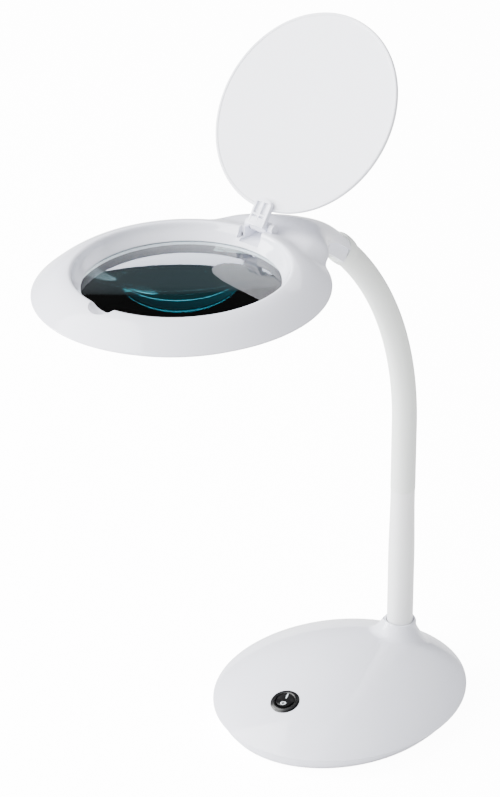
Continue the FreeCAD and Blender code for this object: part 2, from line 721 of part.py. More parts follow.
def supply_lead():
    """From the power inlet along the base to the switch."""
    start = V(INLET_X, inlet_mouth_y() - 16.8, INLET_Z)
    return lead([
        start, start + V(0, -6.2, 0.6), V(-26.5, 39.0, 14.6), V(-27, 18, 15.4), V(-22, -8, 15.8),
        V(-13, -30, 15.6), at_switch(-8.8, -1.5, -7.0), at_switch(-6.5, -3.0, -12.4),
        at_switch(-1.7, -3.0, -12.6),
    ], WIRE_R)


def switched_lead():
    """From the switch to the driver board."""
    return lead([
        at_switch(1.7, 3.0, -12.6), at_switch(6.5, 3.0, -12.4), at_switch(8.8, 4.0, -7.5),
        V(14, -26, 15.2), V(20, -8, 15.8), V(21.0, 1.0, 15.4), V(21.0, 7.6, 15.0),
    ], WIRE_R)


def head_lead():
    """From the driver board down beside the arm's nut and up into its tube."""
    return lead([
        V(22.0, 26.3, 15.0), V(21.0, 33.0, 15.2), V(12.6, 41.4, 15.0), V(12.6, 41.4, 5.6),
        V(0, ARM_Y, 5.0), V(0, ARM_Y, TUBE_BOTTOM_Z - 0.6),
    ], WIRE_R)


# ---- write everything ---------------------------------------------------------------------
def main():
    save("base_cover", cover_posts(base_cover()))
    save("base_tray", base_tray())
    pad_radius = BASE_LENGTH / 2.0 * TRAY_FOOT - 2.3
    save("anti_slip_pad", oval_plate(pad_radius, 0.0, PAD_THICK))
    save("ballast", ballast())
    save("tray_screws", *tray_screws())
    plate, nut = arm_foot()
    save("clamp_plate", plate)
    save("arm_nut", nut)
    save("arm_tube", arm_tube())
    tube_lead_low = V(0, ARM_Y, TUBE_BOTTOM_Z - 0.2)
    save("arm_lead_00", rod(tube_lead_low, V(0, ARM_Y, TUBE_TOP_Z - 0.2), LEAD_R))
    body, pin = power_inlet()
    save("power_inlet", body)
    save("inlet_pin", pin)
    save("supply_lead", supply_lead())
    save("switched_lead", switched_lead())
    save("head_lead", head_lead())
    save("switch_body", switch_body())
    save("switch_rocker", switch_rocker())
    save("switch_terminals", *switch_terminals())
    save("driver_board", driver_board())
    save("board_spacers", *board_spacers())
    save("driver_parts", *driver_parts())
    flexible_arm()
    save("ferrule", ferrule())
    screw, screw_nut = tilt_screw()
    save("tilt_screw", rolled(screw))
    save("tilt_nut", rolled(screw_nut))
    save("head_upper_shell", rolled(head_upper_shell()))
    save("head_lower_shell", rolled(head_lower_shell()))
    save("lens", rolled(lens()))
    save("led_board", rolled(led_board()))
    save("leds", *[rolled(chip) for chip in leds()])
    save("diffuser", rolled(diffuser()))
    save("lid", rolled(lid()))
    save("lid_arm", rolled(lid_arm()))
    save("lid_pin", rolled(lid_pin()))


main()
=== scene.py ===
import json
import math

import bmesh
import bpy
from mathutils import Matrix, Vector


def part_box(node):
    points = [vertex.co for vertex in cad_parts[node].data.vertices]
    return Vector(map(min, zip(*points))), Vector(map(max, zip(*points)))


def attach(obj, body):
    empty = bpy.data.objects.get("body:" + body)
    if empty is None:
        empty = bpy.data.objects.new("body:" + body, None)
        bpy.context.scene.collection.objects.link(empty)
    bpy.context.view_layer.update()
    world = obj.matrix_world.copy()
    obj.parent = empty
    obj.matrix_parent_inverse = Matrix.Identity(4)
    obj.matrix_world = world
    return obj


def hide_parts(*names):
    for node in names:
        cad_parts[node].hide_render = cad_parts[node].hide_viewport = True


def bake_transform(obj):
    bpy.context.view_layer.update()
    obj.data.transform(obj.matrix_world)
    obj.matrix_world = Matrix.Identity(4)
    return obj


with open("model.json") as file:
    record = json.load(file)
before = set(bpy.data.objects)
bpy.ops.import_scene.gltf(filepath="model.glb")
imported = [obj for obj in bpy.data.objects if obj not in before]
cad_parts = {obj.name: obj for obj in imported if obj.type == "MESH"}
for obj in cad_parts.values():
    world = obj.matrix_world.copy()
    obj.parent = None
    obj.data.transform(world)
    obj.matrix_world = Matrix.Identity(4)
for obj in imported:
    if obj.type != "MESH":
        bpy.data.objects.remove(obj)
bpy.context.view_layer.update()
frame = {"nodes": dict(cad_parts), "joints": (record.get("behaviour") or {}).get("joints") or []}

# Magnifying lamp: a round lens head with a lid, on a flexible arm over an oval base.
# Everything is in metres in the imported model's frame; lengths in the tables are millimetres.
MM = 0.001
JOINTS = {joint["name"]: joint for joint in frame["joints"]}
NODES = frame["nodes"]


def middle(node):
    low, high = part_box(node)
    return (Vector(low) + Vector(high)) / 2


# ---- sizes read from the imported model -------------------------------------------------
ARM_Y = middle("arm_tube").y
TUBE_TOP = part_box("arm_tube")[1][2]
TUBE_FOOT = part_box("arm_tube")[0][2]
TILT_PIN = Vector(JOINTS["head_tilt"]["pos_m"])
TILT_AXIS = Vector(JOINTS["head_tilt"]["axis"])
# The arm is twisted a little: the head's pieces are drawn level, then rolled about the tilt screw.
ROLLED = (
    Matrix.Translation(TILT_PIN) @ Matrix.Rotation(-math.atan2(TILT_AXIS.z, TILT_AXIS.x), 4, "Y")
    @ Matrix.Translation(-TILT_PIN))
LENS_MIDDLE = ROLLED.inverted() @ middle("lens")
HEAD_Y = LENS_MIDDLE.y
HEAD_Z = LENS_MIDDLE.z - 1.0 * MM
HINGE_AT = Vector(JOINTS["lid_hinge"]["pos_m"])
HINGE_AXIS = ROLLED.inverted().to_3x3() @ Vector(JOINTS["lid_hinge"]["axis"])
LID_OPEN = math.radians(JOINTS["lid_hinge"]["range_deg"][1])
ROCKER_PIN = Vector(JOINTS["switch_rock"]["pos_m"])
ROCKER_AXIS = Vector(JOINTS["switch_rock"]["axis"])

# The hinge sits a little way round the ring; its pieces are drawn on the neck's line, then turned.
ROUND_THE_RING = (
    Matrix.Translation((0, HEAD_Y, 0)) @ Matrix.Rotation(math.atan2(HINGE_AXIS.y, HINGE_AXIS.x), 4, "Z")
    @ Matrix.Translation((0, -HEAD_Y, 0)))
LID_PIN = ROUND_THE_RING.inverted() @ ROLLED.inverted() @ HINGE_AT

# ---- sizes shared with the part's design, in metres --------------------------------------
# The base's oval, rim and dome are drawn at these sizes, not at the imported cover's.
BASE_HALF_LENGTH = 72.7 * MM
BASE_HALF_WIDTH = 63.8 * MM
TRAY_SQUEEZE = (0.838, 0.878)    # width over length of the tray's oval, at its foot and at the rim
RIM_Z = 9.76 * MM
DOME_RISE = 19.8 * MM
DOME_POWER = 1.8
STRAIGHT_TO_Z = 152.0 * MM
BEND_R = 167.5 * MM
ARM_LEAN = math.radians(44.9)
SEGMENTS = 8
SLEEVE_R = 6.65 * MM


# ---- modelling --------------------------------------------------------------------------
def edit(piece):
    bpy.ops.object.select_all(action="DESELECT")
    piece.select_set(True)
    bpy.context.view_layer.objects.active = piece
    bpy.ops.object.mode_set(mode="EDIT")


def leave():
    bpy.ops.object.mode_set(mode="OBJECT")


def started(name, primitive, **where):
    """Add a primitive with nothing else selected."""
    bpy.ops.object.select_all(action="DESELECT")
    primitive(**where)
    piece = bpy.context.object
    piece.name = name
    piece.data.name = name
    return piece


def settle(piece):
    """Put the object's place into its mesh."""
    bpy.ops.object.select_all(action="DESELECT")
    piece.select_set(True)
    bpy.context.view_layer.objects.active = piece
    bpy.ops.object.transform_apply(location=True, rotation=True, scale=True)
    return piece


def smooth(piece, degrees=35.0):
    bpy.ops.object.select_all(action="DESELECT")
    piece.select_set(True)
    bpy.context.view_layer.objects.active = piece
    bpy.ops.object.shade_smooth_by_angle(angle=math.radians(degrees))
    return piece


def worked(piece, kind, **settings):
    """Add a modifier and apply it."""
    bpy.ops.object.select_all(action="DESELECT")
    piece.select_set(True)
    bpy.context.view_layer.objects.active = piece
    modifier = piece.modifiers.new(kind.title(), kind)
    for key, value in settings.items():
        setattr(modifier, key, value)
    bpy.ops.object.modifier_apply(modifier=modifier.name)
    return piece


def cut_with(piece, tool):
    """Take the tool's space out of the piece, then throw the tool away."""
    worked(piece, "BOOLEAN", operation="DIFFERENCE", object=tool, solver="MANIFOLD")
    bpy.data.objects.remove(tool)
    return piece


def joined(name, pieces):
    bpy.ops.object.select_all(action="DESELECT")
    for piece in pieces:
        piece.select_set(True)
    bpy.context.view_layer.objects.active = pieces[0]
    bpy.ops.object.join()
    pieces[0].name = name
    return pieces[0]


def turned(name, section, steps=96, place=None):
    """Spin a section of (radius, height) in millimetres about Z, then place it."""
    piece = started(name, bpy.ops.mesh.primitive_plane_add, size=MM)
    edit(piece)
    bpy.ops.mesh.select_all(action="SELECT")
    bpy.ops.mesh.merge(type="CENTER")
    bpy.ops.transform.translate(value=(section[0][0] * MM, 0, section[0][1] * MM))
    for before, after in zip(section, section[1:]):
        step = ((after[0] - before[0]) * MM, 0, (after[1] - before[1]) * MM)
        bpy.ops.mesh.extrude_region_move(TRANSFORM_OT_translate={"value": step})
    bpy.ops.mesh.select_all(action="SELECT")
    bpy.ops.mesh.spin(steps=steps, angle=2 * math.pi, center=(0, 0, 0), axis=(0, 0, 1))
    bpy.ops.mesh.select_all(action="SELECT")
    bpy.ops.mesh.remove_doubles(threshold=0.002 * MM)
    bpy.ops.mesh.normals_make_consistent(inside=False)
    leave()
    if place is not None:
        piece.matrix_world = place
        settle(piece)
    return piece


def block(name, low, high, bevel=0.0, segments=2):
    """Box between two corners in millimetres, with rounded edges if asked."""
    low, high = Vector(low) * MM, Vector(high) * MM
    piece = started(name, bpy.ops.mesh.primitive_cube_add, size=1.0, location=(low + high) / 2)
    piece.scale = high - low
    settle(piece)
    if bevel:
        worked(piece, "BEVEL", width=bevel * MM, segments=segments, limit_method="ANGLE")
    return piece


def rod(name, start, end, radius, sides=48):
    """Cylinder from start to end, in metres."""
    way = end - start
    place = Matrix.Translation((start + end) / 2) @ way.to_track_quat("Z", "Y").to_matrix().to_4x4()
    piece = started(
        name, bpy.ops.mesh.primitive_cylinder_add, vertices=sides, radius=radius, depth=way.length)
    piece.matrix_world = place
    return settle(piece)


def move_selected(piece, mapping):
    """Send each selected vertex where mapping says, while in edit mode."""
    net = bmesh.from_edit_mesh(piece.data)
    for corner in net.verts:
        if corner.select:
            corner.co = mapping(corner.co)
    bmesh.update_edit_mesh(piece.data)


def select_faces(piece, wanted):
    net = bmesh.from_edit_mesh(piece.data)
    bpy.ops.mesh.select_all(action="DESELECT")
    bpy.context.tool_settings.mesh_select_mode = (False, False, True)
    for face in net.faces:
        face.select_set(wanted(face))
    bmesh.update_edit_mesh(piece.data)


def rounded(points, radius, steps=3):
    """Section with each corner off the axis cut by a short arc of about that radius."""
    out = []
    count = len(points)
    on_axis = points[0][0] == 0
    for i, point in enumerate(points):
        here = Vector(point)
        if point[0] == 0:
            out.append(tuple(here))
            continue
        before = Vector(points[(i - 1) % count]) - here
        after = Vector(points[(i + 1) % count]) - here
        reach = min(radius, before.length * 0.45, after.length * 0.45)
        a = here + before.normalized() * reach
        b = here + after.normalized() * reach
        for k in range(steps + 1):
            t = k / steps
            out.append(tuple(a * (1 - t) ** 2 + here * 2 * t * (1 - t) + b * t ** 2))
    return out if on_axis else out + [out[0]]


# ---- materials -----------------------------------------------------------------------------
def linear(hex_colour):
    parts = [int(hex_colour[i:i + 2], 16) / 255 for i in (1, 3, 5)]
    out = [c / 12.92 if c <= 0.04045 else ((c + 0.055) / 1.055) ** 2.4 for c in parts]
    return (*out, 1.0)


def add_node(tree, kind, fields=None, values=None, links=None):
    """Add a node, set its fields and socket values, and link its sockets."""
    node = tree.nodes.new(kind)
    for key, value in (fields or {}).items():
        setattr(node, key, value)
    for key, value in (values or {}).items():
        node.inputs[key].default_value = value
    for key, source in (links or {}).items():
        tree.links.new(source, node.inputs[key])
    return node


def new_material(name, **shader_values):
    material = bpy.data.materials.new(name)
    material.use_nodes = True
    shader = material.node_tree.nodes["Principled BSDF"]
    for key, value in shader_values.items():
        shader.inputs[key.replace("_", " ")].default_value = value
    return material, material.node_tree, shader


def surface(name, colour, shade, grain_mm, depth_mm, roughness, spread=0.04, drift_mm=45.0, **more):
    """A moulded or coated finish: fine bump, uneven gloss, and a slow drift between two shades."""
    material, tree, shader = new_material(name, Roughness=roughness, **more)
    place = add_node(tree, "ShaderNodeTexCoord").outputs["Object"]
    drift = add_node(
        tree, "ShaderNodeTexNoise", values={"Scale": 1 / (drift_mm * MM), "Detail": 2.0},
        links={"Vector": place})
    tint = add_node(
        tree, "ShaderNodeMix", {"data_type": "RGBA"},
        {"A": linear(colour), "B": linear(shade)}, {"Factor": drift.outputs["Fac"]})
    tree.links.new(tint.outputs["Result"], shader.inputs["Base Color"])
    grain = add_node(
        tree, "ShaderNodeTexNoise", values={"Scale": 1 / (grain_mm * MM), "Detail": 3.0},
        links={"Vector": place})
    gloss = add_node(
        tree, "ShaderNodeMapRange", values={"To Min": roughness - spread, "To Max": roughness + spread},
        links={"Value": grain.outputs["Fac"]})
    tree.links.new(gloss.outputs["Result"], shader.inputs["Roughness"])
    bump = add_node(
        tree, "ShaderNodeBump", values={"Distance": depth_mm * MM, "Strength": 1.0},
        links={"Height": grain.outputs["Fac"]})
    tree.links.new(bump.outputs["Normal"], shader.inputs["Normal"])
    return material


# Polished ABS, injection moulded: cool white, a soft mirror shine with a faint ripple.
ABS_WHITE = surface("abs_polished_white", "#ECEDF7", "#E7E9F4", 3.0, 0.004, 0.1, spread=0.02)
# The same ABS as thin lid stock, with painted light: its colour is set a little brighter to stand in for light
# passing into it.
LID_WHITE_PAINTED_LIGHT = surface("abs_lid_white_painted_light", "#F2F3FA", "#EEF0F8", 4.0, 0.003, 0.08, spread=0.02)
# ABS pipe over the stiff tube: smooth, warmer white.
TUBE_WHITE = surface("abs_tube_white", "#F0F1F1", "#ECEDEE", 2.0, 0.004, 0.2)
# Soft PVC sleeve, extruded: matt, slightly green white with a fine skin.
PVC_SLEEVE = surface("pvc_sleeve_matt", "#E8EBE8", "#E2E6E3", 0.9, 0.012, 0.52, spread=0.06)
# Black polyamide of the switch, moulded with a satin face.
PA_BLACK = surface("polyamide_black_satin", "#0B0B0D", "#101012", 0.5, 0.006, 0.32)
# Pad-printed paint in the switch's marks.
MARK_WHITE = surface("printed_mark_white", "#DDE3EA", "#D3DAE2", 0.3, 0.004, 0.45)
# Foam rubber sheet under the base: dark, matt, full of small cells.
FOAM_GREY = surface("foam_rubber_dark", "#2A2B2D", "#36373A", 0.7, 0.12, 0.85, spread=0.08, drift_mm=12)
# Sand cast iron, painted thinly: dull and pitted.
CAST_IRON = surface("cast_iron_black", "#2B2B2D", "#3A3A3B", 1.4, 0.12, 0.62, spread=0.12, drift_mm=9)
# Zinc plated steel of screws, nuts and the core's coil.
ZINC_STEEL = surface(
    "zinc_plated_steel", "#C4C6C9", "#AEB1B6", 0.8, 0.01, 0.32, spread=0.08, drift_mm=6, Metallic=1.0)
# Tin plated brass contacts.
CONTACT_BRASS = surface("brass_contact", "#D9C27C", "#C7AE68", 0.5, 0.008, 0.28, Metallic=1.0)
# PVC jacket of the inner leads: soft white with a dull shine.
LEAD_WHITE = surface("pvc_lead_white", "#E4E4E2", "#DADAD8", 0.6, 0.01, 0.42)
# Solder mask over glass-epoxy board: white, hard and fairly glossy.
BOARD_WHITE = surface("solder_mask_white", "#E9EAE6", "#DDE0DB", 0.5, 0.01, 0.34, drift_mm=5)
# Natural nylon spacers: milky and satin.
NYLON = surface("nylon_natural", "#E8E6DE", "#DEDBD0", 0.7, 0.01, 0.4)
# Phosphor face of the light emitting diodes.
PHOSPHOR = surface("phosphor_yellow", "#E8D66A", "#D9C552", 0.25, 0.02, 0.5, drift_mm=1.5)
# Frosted acrylic window: clear plastic with a blasted face that blurs what is behind.
FROSTED = surface(
    "acrylic_frosted", "#F2F6F6", "#E9F0F0", 0.35, 0.02, 0.55, Transmission_Weight=0.55, IOR=1.49)


def optical_glass():
    """Crown glass, ground and polished: clear straight through, green along its edge."""
    material, tree, shader = new_material(
        "crown_glass_polished", Roughness=0.0, IOR=1.523, Transmission_Weight=1.0)
    shader.inputs["Base Color"].default_value = linear("#FFFFFF")
    depth = add_node(
        tree, "ShaderNodeVolumeAbsorption", values={"Color": linear("#8FE6EC"), "Density": 62.0})
    tree.links.new(depth.outputs["Volume"], tree.nodes["Material Output"].inputs["Volume"])
    return material


GLASS = optical_glass()


def dress(piece, material):
    piece.data.materials.clear()
    piece.data.materials.append(material)
    return piece


def finish_piece(piece, material, body, replaces=()):
    dress(piece, material)
    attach(piece, body)
    if replaces:
        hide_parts(*replaces)
    return piece


# ---- base -------------------------------------------------------------------------------------
def dome_z(x, y):
    inside = 1 - (x / BASE_HALF_WIDTH) ** 2 - (y / BASE_HALF_LENGTH) ** 2
    return RIM_Z + DOME_RISE * max(inside, 0.0) ** (DOME_POWER / 2)


def rim_distance(angle):
    """From the arm's foot to the base's rim, in that direction."""
    dx, dy = math.cos(angle), math.sin(angle)
    a = (dx / BASE_HALF_WIDTH) ** 2 + (dy / BASE_HALF_LENGTH) ** 2
    b = 2 * ARM_Y * dy / BASE_HALF_LENGTH ** 2
    c = (ARM_Y / BASE_HALF_LENGTH) ** 2 - 1
    return (-b + math.sqrt(b * b - 4 * a * c)) / (2 * a)


COLLAR_R = 8.9 * MM
COLLAR_RISE = 8.4 * MM
FLARE = 8.0 * MM
FLARE_POWER = 1.7
COVER_WALL = 1.2 * MM
# (fraction of the rim's oval, height) under the rim, and (radius, height) over the collar's lip
RIM_EDGE = ((1.0, 9.2), (0.994, 8.8), (0.98, 8.6))
COLLAR_LIP = (
    (8.75, 30.2), (8.5, 30.8), (8.15, 31.0), (7.75, 31.0), (7.5, 30.8), (7.45, 30.4), (7.45, 26.0))


def base_cover():
    """Dome drawn as rings about the arm's foot, so that the collar grows out of it in one sweep."""
    foot = Vector((0, ARM_Y, 0))
    piece = started(
        "base_cover_shell", bpy.ops.mesh.primitive_circle_add,
        vertices=160, radius=COLLAR_R, location=foot)
    settle(piece)
    edit(piece)
    rings = 56
    for ring in range(1, rings + 1):
        part = ring / rings
        share = 0.5 * part ** 1.6 + 0.5 * math.sin(math.pi / 2 * part) * part ** 0.6

        def spread(corner, share=share):
            way = corner - foot
            angle = math.atan2(way.y, way.x)
            reach = COLLAR_R + (rim_distance(angle) - COLLAR_R) * min(share, 1.0)
            x, y = reach * math.cos(angle), ARM_Y + reach * math.sin(angle)
            return Vector((x, y, dome_z(x, y) + flare_rise(reach)))

        bpy.ops.mesh.extrude_region_move()
        move_selected(piece, spread)
    for shrink, z in RIM_EDGE:
        def turn_in(corner, shrink=shrink, z=z):
            scale = shrink / oval_scale(corner)
            return Vector((corner.x * scale, corner.y * scale, z * MM))

        bpy.ops.mesh.extrude_region_move()
        move_selected(piece, turn_in)
    net = bmesh.from_edit_mesh(piece.data)
    for corner in net.verts:
        distance = (Vector((corner.co.x, corner.co.y, 0)) - foot).length
        corner.select = distance < COLLAR_R * 1.001
        if corner.select:
            corner.co.z = dome_z(0, ARM_Y) + COLLAR_RISE
    net.select_flush_mode()
    bpy.context.tool_settings.mesh_select_mode = (True, False, False)
    net.select_flush(True)
    bmesh.update_edit_mesh(piece.data)
    for radius, z in COLLAR_LIP:
        def round_off(corner, radius=radius, z=z):
            way = Vector((corner.x, corner.y - ARM_Y, 0)).normalized()
            return foot + way * radius * MM + Vector((0, 0, z * MM))

        bpy.ops.mesh.extrude_region_move()
        move_selected(piece, round_off)
    bpy.ops.mesh.select_all(action="SELECT")
    bpy.ops.mesh.normals_make_consistent(inside=False)
    leave()
    return piece


def oval_scale(corner):
    """How far out a point is, as a fraction of the rim's oval."""
    return math.hypot(corner.x / BASE_HALF_WIDTH, corner.y / BASE_HALF_LENGTH)


def flare_rise(reach):
    share = min(max((reach - COLLAR_R) / FLARE, 0.0), 1.0)
    return COLLAR_RISE * (1 - share) ** FLARE_POWER


def switch_place():
    """Frame of the round switch: Z square to the dome, X along the rocker's pin."""
    slope = (dome_z(0, ROCKER_PIN.y + MM) - dome_z(0, ROCKER_PIN.y - MM)) / (2 * MM)
    up = Vector((0, -slope, 1)).normalized()
    along = ROCKER_AXIS.normalized()
    across = up.cross(along).normalized()
    turn = Matrix((along, across, along.cross(across))).transposed().to_4x4()
    return Matrix.Translation(ROCKER_PIN + along.cross(across) * 2.4 * MM) @ turn


def base_tray():
    """Shallow dish that closes the base from below, its wall leaning out to the rim."""
    dish = turned("base_tray_dish", rounded([
        (0, 1.2), (64.6, 1.2), (64.6, 0.3), (66.8, 0.3), (69.4, 3.6), (71.4, 8.5), (69.6, 8.5), (66.4, 3.4), (0, 3.2),
    ], 0.5), 160)
    edit(dish)
    bpy.ops.mesh.select_all(action="SELECT")
    low, high = TRAY_SQUEEZE
    move_selected(dish, lambda c: Vector((c.x * (low + (high - low) * c.z / RIM_Z), c.y, c.z)))
    leave()
    return dish


def make_base():
    cover = base_cover()
    worked(cover, "SOLIDIFY", thickness=COVER_WALL, offset=-1.0, use_even_offset=True)
    place = switch_place()
    cut_with(cover, rod("tool", place @ Vector((0, 0, -8 * MM)), place @ Vector((0, 0, 8 * MM)), 6.7 * MM))
    inlet = middle("power_inlet") / MM
    tray = base_tray()
    for piece in (cover, tray):
        mouth = block("tool", inlet - Vector((5.5, 5.0, 3.7)), inlet + Vector((5.5, 16.0, 1.8)))
        cut_with(piece, mouth)
        smooth(piece, 40)
    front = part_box("power_inlet")[0][1] / MM
    socket = block(
        "inlet_socket", (inlet.x - 4.5, front, inlet.z - 3.2), (inlet.x + 4.5, 62.0, inlet.z + 1.2), 0.3)
    pin = middle("inlet_pin")
    cut_with(socket, rod("tool", pin, pin + Vector((0, 20 * MM, 0)), 1.5 * MM))
    smooth(socket, 40)
    finish_piece(socket, PA_BLACK, "base", ["power_inlet"])
    finish_piece(tray, ABS_WHITE, "base", ["base_tray"])
    finish_piece(cover, ABS_WHITE, "base", ["base_cover"])
    pipe = [(5.2, TUBE_FOOT / MM), (7.05, TUBE_FOOT / MM), (7.05, 70.0)]
    for i in range(9):
        t = i / 8
        pipe.append((7.05 - 0.55 * (3 * t * t - 2 * t ** 3), 72.0 + 36.0 * t))
    pipe += [(6.5, TUBE_TOP / MM - 0.3), (6.2, TUBE_TOP / MM), (5.2, TUBE_TOP / MM), (5.2, TUBE_FOOT / MM)]
    tube = turned("arm_tube_pipe", pipe, 64, Matrix.Translation((0, ARM_Y, 0)))
    smooth(tube, 40)
    finish_piece(tube, TUBE_WHITE, "base", ["arm_tube"])


MARK_OUT = 2.9                        # each mark, from the rocker's pin, in millimetres
ROCKER_REST = math.radians(-7.0)      # stored off
PADDLE_SLOPE = math.radians(9.0)      # each half of the rocker's face rises outwards
PIN_DEPTH = Matrix.Translation((0, 0, 2.4 * MM))


def make_switch():
    place = switch_place()
    section = rounded([
        (5.25, -0.2), (6.6, -0.2), (6.6, 0.1), (7.9, 0.1), (7.9, 0.5), (7.2, 1.0), (6.0, 1.45), (5.25, 1.2),
    ], 0.25)
    bezel = turned("switch_bezel", section, 72, place)
    can = turned("switch_can", [
        (0, -10.7), (6.5, -10.7), (6.5, -0.25), (5.3, -0.25), (5.3, -9.5), (0, -9.5)], 64, place)
    body = joined("switch_housing", [bezel, can])
    smooth(body, 40)
    finish_piece(body, PA_BLACK, "base", ["switch_body"])
    seat = place @ PIN_DEPTH.inverted() @ Matrix.Rotation(ROCKER_REST, 4, "X") @ PIN_DEPTH
    cap = turned("switch_paddle", rounded([(0, -2.0), (4.8, -2.0), (4.85, 1.0), (0, 1.0)], 0.35), 72)
    edit(cap)
    bpy.ops.mesh.select_all(action="SELECT")
    bpy.ops.mesh.bisect(plane_co=(0, 0, 0), plane_no=(0, 1, 0))
    bpy.ops.mesh.select_all(action="SELECT")
    slope = math.tan(PADDLE_SLOPE)
    move_selected(cap, lambda c: Vector((c.x, c.y, c.z + (abs(c.y) * slope if c.z > 0 else 0))))
    leave()
    cap.matrix_world = seat
    settle(cap)
    smooth(cap, 30)
    finish_piece(cap, PA_BLACK, "rocker", ["switch_rocker"])
    lift = 1.0 + MARK_OUT * slope
    stroke = block("switch_mark_on", (-0.3, -1.6, -0.06), (0.3, 1.6, 0.05))
    stroke.matrix_world = (
        seat @ Matrix.Translation((0, MARK_OUT * MM, lift * MM)) @ Matrix.Rotation(PADDLE_SLOPE, 4, "X"))
    settle(stroke)
    worked(stroke, "BEVEL", width=0.04 * MM, segments=2)
    loop = turned(
        "switch_mark_off", [(0.9, -0.06), (1.6, -0.06), (1.6, 0.05), (0.9, 0.05), (0.9, -0.06)], 40)
    loop.matrix_world = (
        seat @ Matrix.Translation((0, -MARK_OUT * MM, lift * MM)) @ Matrix.Rotation(-PADDLE_SLOPE, 4, "X"))
    settle(loop)
    marks = joined("switch_marks", [stroke, loop])
    finish_piece(marks, MARK_WHITE, "rocker")


# ---- flexible arm --------------------------------------------------------------------------------
ARM_LENGTH = STRAIGHT_TO_Z - TUBE_TOP + ARM_LEAN * BEND_R


def arm_place(run):
    """Frame on the arm's centreline: Z along it, X across the lamp."""
    straight = STRAIGHT_TO_Z - TUBE_TOP
    turn = max(run - straight, 0.0) / BEND_R
    y = ARM_Y - BEND_R * (1 - math.cos(turn))
    z = min(TUBE_TOP + run, STRAIGHT_TO_Z) + BEND_R * math.sin(turn)
    return Matrix.Translation((0, y, z)) @ Matrix.Rotation(turn, 4, "X")


def sleeve_piece(name, start, end):
    """Length of sleeve between two runs along the arm, closed at both ends."""
    here = arm_place(start)
    piece = started(
        name, bpy.ops.mesh.primitive_circle_add, vertices=56, radius=SLEEVE_R, fill_type="NGON")
    piece.matrix_world = here
    settle(piece)
    edit(piece)
    bpy.ops.mesh.select_all(action="SELECT")
    steps = 12
    for step in range(1, steps + 1):
        there = arm_place(start + (end - start) * step / steps)
        bpy.ops.mesh.extrude_region_move()
        move_selected(piece, lambda c, a=here, b=there: b @ (a.inverted() @ c))
        here = there
    bpy.ops.mesh.select_all(action="SELECT")
    bpy.ops.mesh.normals_make_consistent(inside=False)
    leave()
    return smooth(piece, 50)


def make_sleeve():
    link = ARM_LENGTH / SEGMENTS
    bodies = ["base"] + ["arm_link_{}".format(i) for i in range(2, SEGMENTS + 1)]
    for i in range(SEGMENTS + 1):
        start = 0.0 if i == 0 else (i - 0.5) * link
        end = ARM_LENGTH if i == SEGMENTS else (i + 0.5) * link
        piece = sleeve_piece("sleeve_length_{:02d}".format(i), start, end)
        dress(piece, PVC_SLEEVE)
        if i < SEGMENTS:
            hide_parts("sleeve_{:02d}".format(i + 1))
        if 0 < i < SEGMENTS:
            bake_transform(piece)
        else:
            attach(piece, bodies[0] if i == 0 else bodies[-1])


def make_ferrule():
    end = arm_place(ARM_LENGTH)
    collar = turned("ferrule_collar", [
        (0.0, 0.3), (6.9, 0.3), (7.1, 0.45), (7.25, 1.0), (7.45, 2.6), (7.6, 4.4), (7.65, 6.2), (7.6, 8.0),
        (7.4, 10.0), (7.0, 11.4), (6.2, 12.2), (0.0, 12.4)], 72, end)
    inside = prism("tool", arc(23.3, -80, 20, 20) + [(-26.5, 300.0), (-45.0, 286.5), (-26.5, 262.0)], -20, 20)
    inside.matrix_world = ROLLED
    cut_with(collar, settle(inside))
    way = TILT_PIN - end.translation
    stem = block("ferrule_stem", (-4.8, -4.0, 5.0), (4.8, 4.0, way.length / MM), 0.4)
    along = way.to_track_quat("Z", "X").to_matrix().to_4x4() @ Matrix.Rotation(math.pi / 2, 4, "Z")
    stem.matrix_world = ROLLED @ Matrix.Translation(end.translation) @ along
    settle(stem)
    half = TILT_AXIS * 4.8 * MM
    knuckle = rod("ferrule_knuckle", TILT_PIN - half, TILT_PIN + half, 5.6 * MM)
    piece = joined("ferrule_tongue", [collar, stem, knuckle])
    smooth(piece, 35)
    finish_piece(piece, PVC_SLEEVE, "arm_link_8", ["ferrule"])


# ---- head ---------------------------------------------------------------------------------------------
HEAD = Matrix.Translation((0, HEAD_Y, HEAD_Z))
NECK = (
    # y, z, half height, half width, fall towards the back in degrees
    (-50.0, 298.0, 7.4, 34.0, 10.0),
    (-43.0, 296.4, 8.2, 26.0, 17.0),
    (-36.0, 293.9, 8.7, 19.5, 24.0),
    (-29.0, 290.4, 9.0, 14.5, 32.0),
    (-22.0, 286.6, 8.9, 11.0, 38.0),
    (-14.5, 280.8, 8.4, 8.6, 42.0),
    (-8.5, 275.5, 8.2, 8.2, 44.5),
    (-3.0, 270.1, 8.2, 8.2, 45.0),
)
RING_SECTION = [
    (48.1, 2.2), (48.1, 2.9), (48.5, 3.4), (51.7, 7.2), (52.3, 9.6), (52.75, 10.7), (53.5, 11.15), (54.8, 11.1),
    (58.6, 10.0), (62.8, 7.6), (66.6, 4.9), (69.8, 2.3), (71.7, 0.7), (72.4, 0.05), (71.9, -0.35), (69.6, -0.2),
    (66.0, 2.6), (61.5, 5.9), (57.0, 8.2), (55.2, 8.4), (54.2, 7.6), (54.1, 2.2), (48.1, 2.2),
]


def ring_row(spot):
    """Distance from the ring's middle and height, to a tenth of a millimetre."""
    return (round(math.hypot(spot.x, spot.y - HEAD_Y) / MM, 1), round(spot.z / MM, 1))


